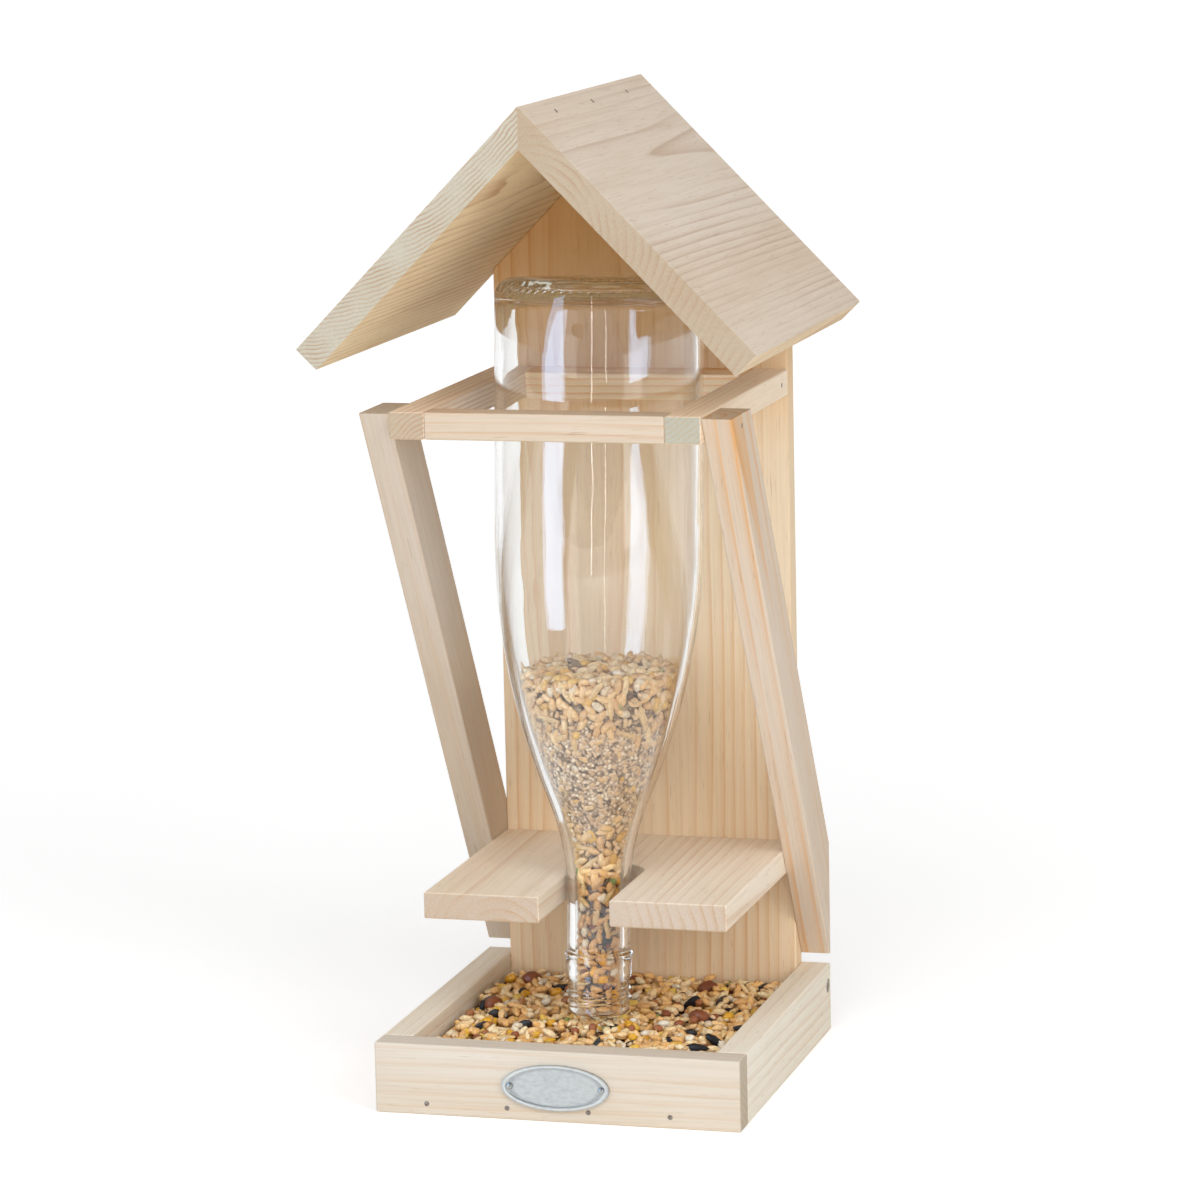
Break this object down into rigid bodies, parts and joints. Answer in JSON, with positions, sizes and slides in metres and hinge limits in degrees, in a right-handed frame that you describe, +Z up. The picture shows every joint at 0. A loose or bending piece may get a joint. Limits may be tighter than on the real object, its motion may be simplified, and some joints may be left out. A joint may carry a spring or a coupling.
{
  "type": "wine bottle bird feeder",
  "caption": "Bird feeder of pale planks: an upturned wine bottle stands in a ring and a slotted shelf under a gabled roof and lets seed run into the tray below",
  "frame": {"origin": "middle of the tray's underside, where the feeder stands", "axes": "+Z up, +Y towards the back board, +X to the feeder's right as seen from its front"},
  "size_m": [0.1772, 0.174, 0.391],
  "materials": {
    "pine": "matte",
    "bottle_glass": "gloss",
    "seed": "matte",
    "plate_metal": "satin",
    "brad_steel": "satin",
    "screw_steel": "satin"
  },
  "bodies": {
    "frame": {"back_board": "pine", "tray_floor": "pine", "tray_front_rail": "pine", "tray_left_rail": "pine", "tray_right_rail": "pine", "neck_shelf": "pine", "ring_left_rail": "pine", "ring_right_rail": "pine", "ring_front_bar": "pine", "ring_rear_bar": "pine", "left_strut": "pine", "right_strut": "pine", "roof_left_plank": "pine", "roof_right_plank": "pine", "seed_in_tray": "seed", "name_plate": "plate_metal", "name_plate_pins": "plate_metal", "tray_front_brads": "brad_steel", "tray_rear_brads": "brad_steel", "ring_corner_nails": "brad_steel", "strut_nails": "brad_steel", "roof_ridge_brads": "brad_steel", "tray_rear_screws": "screw_steel", "ring_screws": "screw_steel", "shelf_screws": "screw_steel"},
    "bottle": {"bottle": "bottle_glass", "seed_in_bottle": "seed"}
  },
  "joints": [
    {"name": "bottle_swing", "type": "hinge", "parent": "frame", "child": "bottle", "pos_m": [0, 0.047, 0.274], "axis": [-1, 0, 0], "range_deg": [0, 18]}
  ]
}
